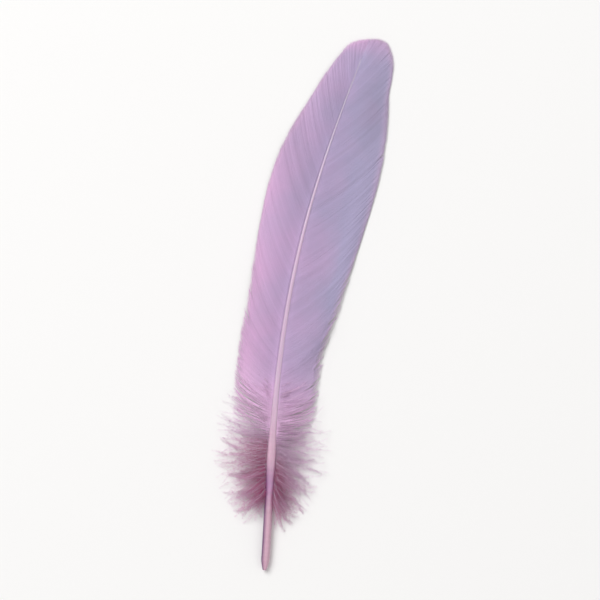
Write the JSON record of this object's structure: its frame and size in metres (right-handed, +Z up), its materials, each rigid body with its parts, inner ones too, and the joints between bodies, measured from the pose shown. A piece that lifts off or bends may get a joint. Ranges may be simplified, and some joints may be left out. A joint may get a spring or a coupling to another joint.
{
  "type": "goose feather",
  "caption": "Long bowed goose feather dyed pale lilac, lying rounded side up: a bare quill and thinning shaft, a vane on each side and tufts of down at the foot of the vanes.",
  "frame": {"origin": "on the surface the feather lies on, under the middle of its box", "axes": "+Z up from the surface, +Y along the straight line from the end of the quill to the tip, +X to the right of the shaft seen from above"},
  "size_m": [0.0376, 0.172, 0.0058],
  "materials": {
    "shaft": "semi-gloss horn, pale pink lilac",
    "vane": "fine ribbed web of barbs with a soft sheen, dyed lilac with pinker and greyer patches",
    "down": "fluffy loose down, dyed mauve"
  },
  "bodies": {
    "root": {"shaft": "shaft", "vane_left": "vane", "vane_right": "vane", "down_left": "down", "down_right": "down"}
  },
  "joints": []
}
